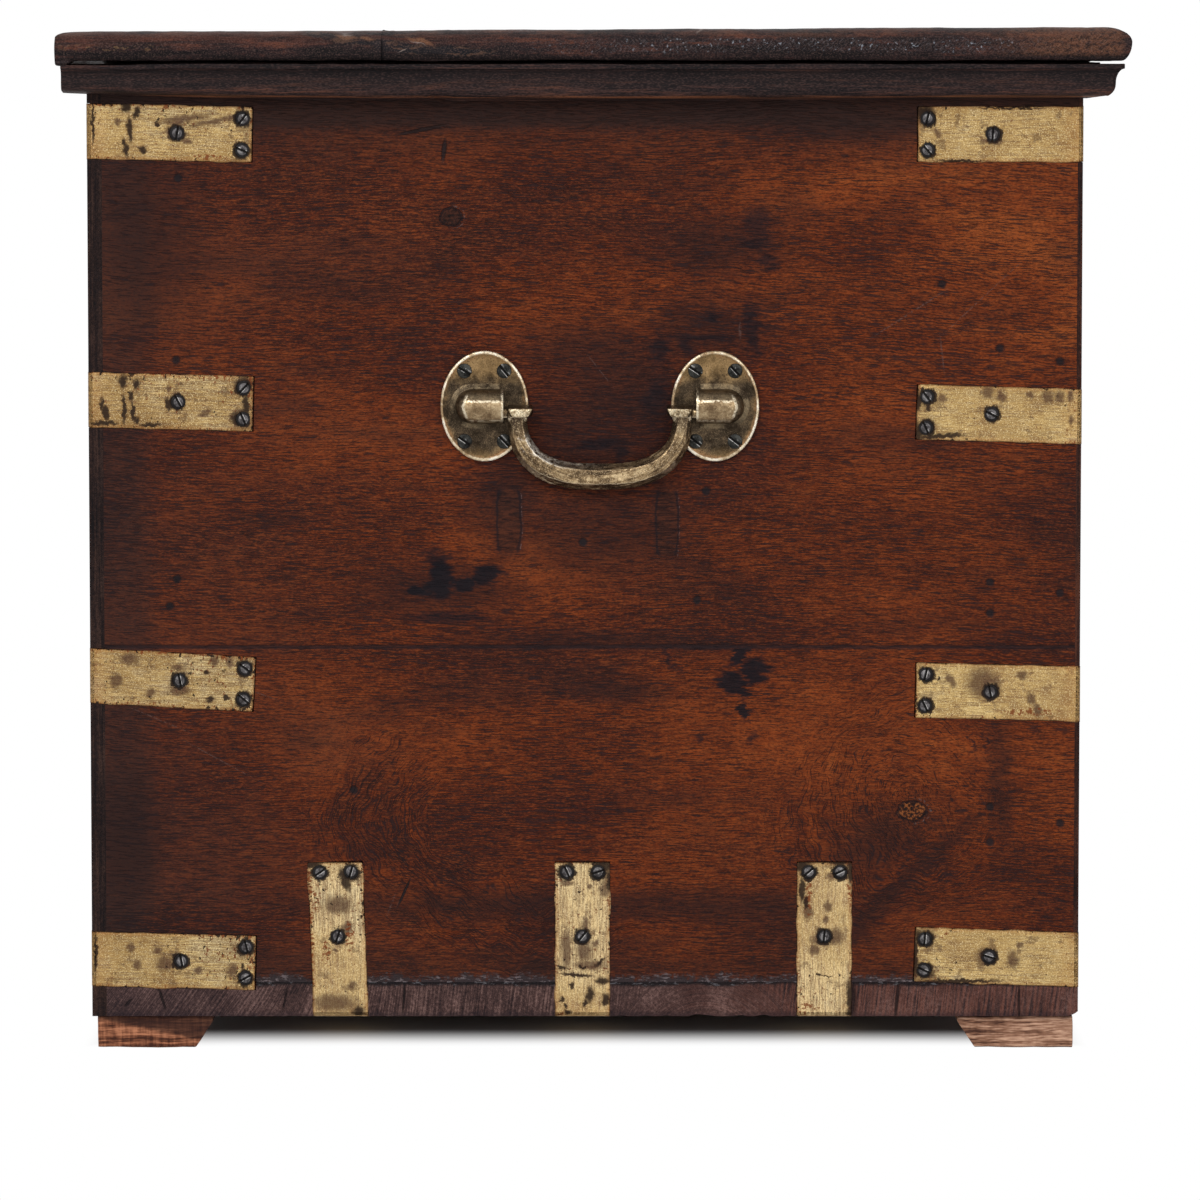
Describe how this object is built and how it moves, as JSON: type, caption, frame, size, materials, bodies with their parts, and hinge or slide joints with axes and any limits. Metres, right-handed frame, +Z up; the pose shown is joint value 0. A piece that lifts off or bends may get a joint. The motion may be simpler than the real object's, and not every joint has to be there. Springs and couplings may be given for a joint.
{
  "type": "military chest",
  "caption": "Brass-bound hardwood military trunk: hinged moulded lid, corner and bottom straps, a drop handle at each end, block feet and a front lock.",
  "frame": {"origin": "on the floor under the middle of the chest's overall box", "axes": "+X along the length, towards the right end; +Y towards the hinged back; +Z up"},
  "size_m": [0.956, 0.491, 0.4715],
  "materials": {
    "teak": "old waxed red-brown hardwood",
    "dark_teak": "near-black waxed wood, worn at edges",
    "foot_wood": "raw brown wood",
    "strap_brass": "scratched, tarnish-spotted sheet brass",
    "handle_brass": "dark cast brass, bright on the rims",
    "hinge_brass": "dull brass",
    "lock_brass": "dull brass",
    "screw_steel": "dark oiled steel",
    "lock_iron": "blackened iron"
  },
  "bodies": {
    "case": {"left_end_upper_board": "teak", "left_end_lower_board": "teak", "right_end_upper_board": "teak", "right_end_lower_board": "teak", "front_upper_board": "teak", "front_lower_board": "teak", "back_upper_board": "teak", "back_lower_board": "teak", "bottom_board": "teak", "bottom_front_strip": "teak", "foot_left_front": "foot_wood", "foot_left_back": "foot_wood", "foot_right_front": "foot_wood", "foot_right_back": "foot_wood", "strap_left_front_1": "strap_brass", "strap_left_front_2": "strap_brass", "strap_left_front_3": "strap_brass", "strap_left_front_4": "strap_brass", "strap_left_back_1": "strap_brass", "strap_left_back_2": "strap_brass", "strap_left_back_3": "strap_brass", "strap_left_back_4": "strap_brass", "strap_right_front_1": "strap_brass", "strap_right_front_2": "strap_brass", "strap_right_front_3": "strap_brass", "strap_right_front_4": "strap_brass", "strap_right_back_1": "strap_brass", "strap_right_back_2": "strap_brass", "strap_right_back_3": "strap_brass", "strap_right_back_4": "strap_brass", "bottom_strap_left_front": "strap_brass", "bottom_strap_left_middle": "strap_brass", "bottom_strap_left_back": "strap_brass", "bottom_strap_right_front": "strap_brass", "bottom_strap_right_middle": "strap_brass", "bottom_strap_right_back": "strap_brass", "handle_plate_left_front": "handle_brass", "handle_plate_left_back": "handle_brass", "handle_plate_right_front": "handle_brass", "handle_plate_right_back": "handle_brass", "hinge_case_leaf_left": "hinge_brass", "hinge_case_leaf_right": "hinge_brass", "hinge_pin_left": "screw_steel", "hinge_pin_right": "screw_steel", "lock_case": "lock_iron", "keyhole_plate": "strap_brass", "case_screws": "screw_steel", "handle_screws": "screw_steel"},
    "lid": {"lid_front_board": "dark_teak", "lid_back_board": "dark_teak", "moulding_front": "dark_teak", "moulding_left": "dark_teak", "moulding_right": "dark_teak", "hinge_lid_leaf_left": "hinge_brass", "hinge_lid_leaf_right": "hinge_brass", "lock_link_plate": "lock_iron", "lid_screws": "screw_steel"},
    "left_bail": {"left_bail": "handle_brass"},
    "right_bail": {"right_bail": "handle_brass"},
    "lock_bolt": {"lock_bolt": "lock_brass"}
  },
  "joints": [
    {"name": "lid_hinge", "type": "hinge", "parent": "case", "child": "lid", "pos_m": [0, 0.2355, 0.45335], "axis": [-1, 0, 0], "range_deg": [0, 105]},
    {"name": "left_bail_hinge", "type": "hinge", "parent": "case", "child": "left_bail", "pos_m": [-0.4635, -0.0028, 0.2953], "axis": [0, 1, 0], "range_deg": [0, 90]},
    {"name": "right_bail_hinge", "type": "hinge", "parent": "case", "child": "right_bail", "pos_m": [0.4635, -0.0028, 0.2953], "axis": [0, -1, 0], "range_deg": [0, 90]},
    {"name": "bolt_slide", "type": "slide", "parent": "case", "child": "lock_bolt", "axis": [1, 0, 0], "range_m": [0, 0.0075]}
  ]
}
